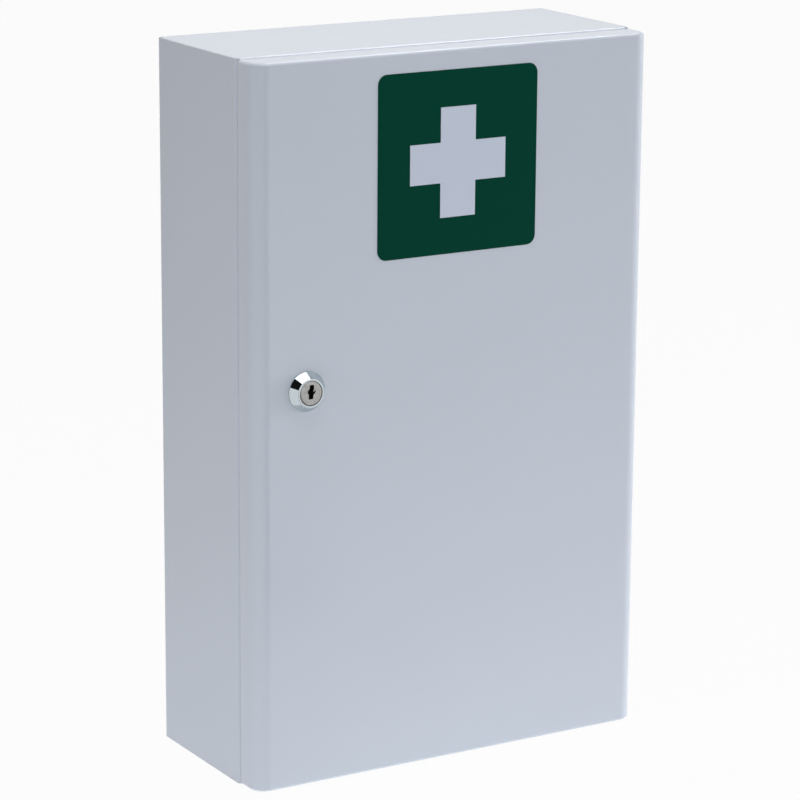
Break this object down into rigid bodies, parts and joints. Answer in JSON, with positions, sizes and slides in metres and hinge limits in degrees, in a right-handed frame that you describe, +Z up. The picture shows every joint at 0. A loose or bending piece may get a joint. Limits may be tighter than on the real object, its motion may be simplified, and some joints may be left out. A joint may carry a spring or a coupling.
{
  "type": "medicine cabinet",
  "caption": "Lockable sheet-steel wall cabinet with an overlay door on hidden pin hinges, a quarter-turn cam lock, adjustable shelves and a first-aid sign.",
  "frame": {"origin": "under the middle of the whole object, on the surface that it stands on", "axes": "+Z up; the door faces -Y and the wall is at +Y; +X is the hinge side, at the right as seen from the front"},
  "size_m": [0.248, 0.115, 0.4],
  "materials": {
    "powder_coat": "semi-gloss white powder coat with a slight orange peel",
    "zinc_plate": "bright zinc plate",
    "lock_chrome": "polished chrome plate",
    "lock_nickel": "satin nickel plate",
    "wafer_brass": "plain stamped brass",
    "buffer_rubber": "matt moulded rubber",
    "green_film": "satin printed film",
    "white_film": "satin printed film"
  },
  "bodies": {
    "cabinet": {"side_and_back_shell": "powder_coat", "top_panel": "powder_coat", "bottom_panel": "powder_coat", "rail_left_front": "powder_coat", "rail_left_rear": "powder_coat", "rail_right_front": "powder_coat", "rail_right_rear": "powder_coat", "lower_shelf": "powder_coat", "upper_shelf": "powder_coat", "lower_shelf_clips": "zinc_plate", "upper_shelf_clips": "zinc_plate", "lower_body_hinge_bracket": "zinc_plate", "upper_body_hinge_bracket": "zinc_plate", "hinge_bracket_rivets": "zinc_plate"},
    "door": {"door_pan": "powder_coat", "door_buffers": "buffer_rubber", "sign_field": "green_film", "sign_cross": "white_film", "lower_door_hinge_clevis": "zinc_plate", "upper_door_hinge_clevis": "zinc_plate", "lower_hinge_pin": "zinc_plate", "upper_hinge_pin": "zinc_plate", "lock_housing": "lock_chrome", "lock_washer": "zinc_plate", "lock_nut": "zinc_plate"},
    "lock": {"lock_plug": "lock_nickel", "lock_wafers": "wafer_brass", "lock_stop_washer": "zinc_plate", "lock_cam": "zinc_plate", "cam_spring_washer": "zinc_plate", "cam_screw": "zinc_plate"}
  },
  "joints": [
    {"name": "door_swing", "type": "hinge", "parent": "cabinet", "child": "door", "pos_m": [0.12, -0.0445, 0.2], "axis": [0, 0, 1], "range_deg": [0, 110]},
    {"name": "lock_turn", "type": "hinge", "parent": "door", "child": "lock", "pos_m": [-0.093, -0.0325, 0.2225], "axis": [0, -1, 0], "range_deg": [0, 90]}
  ]
}
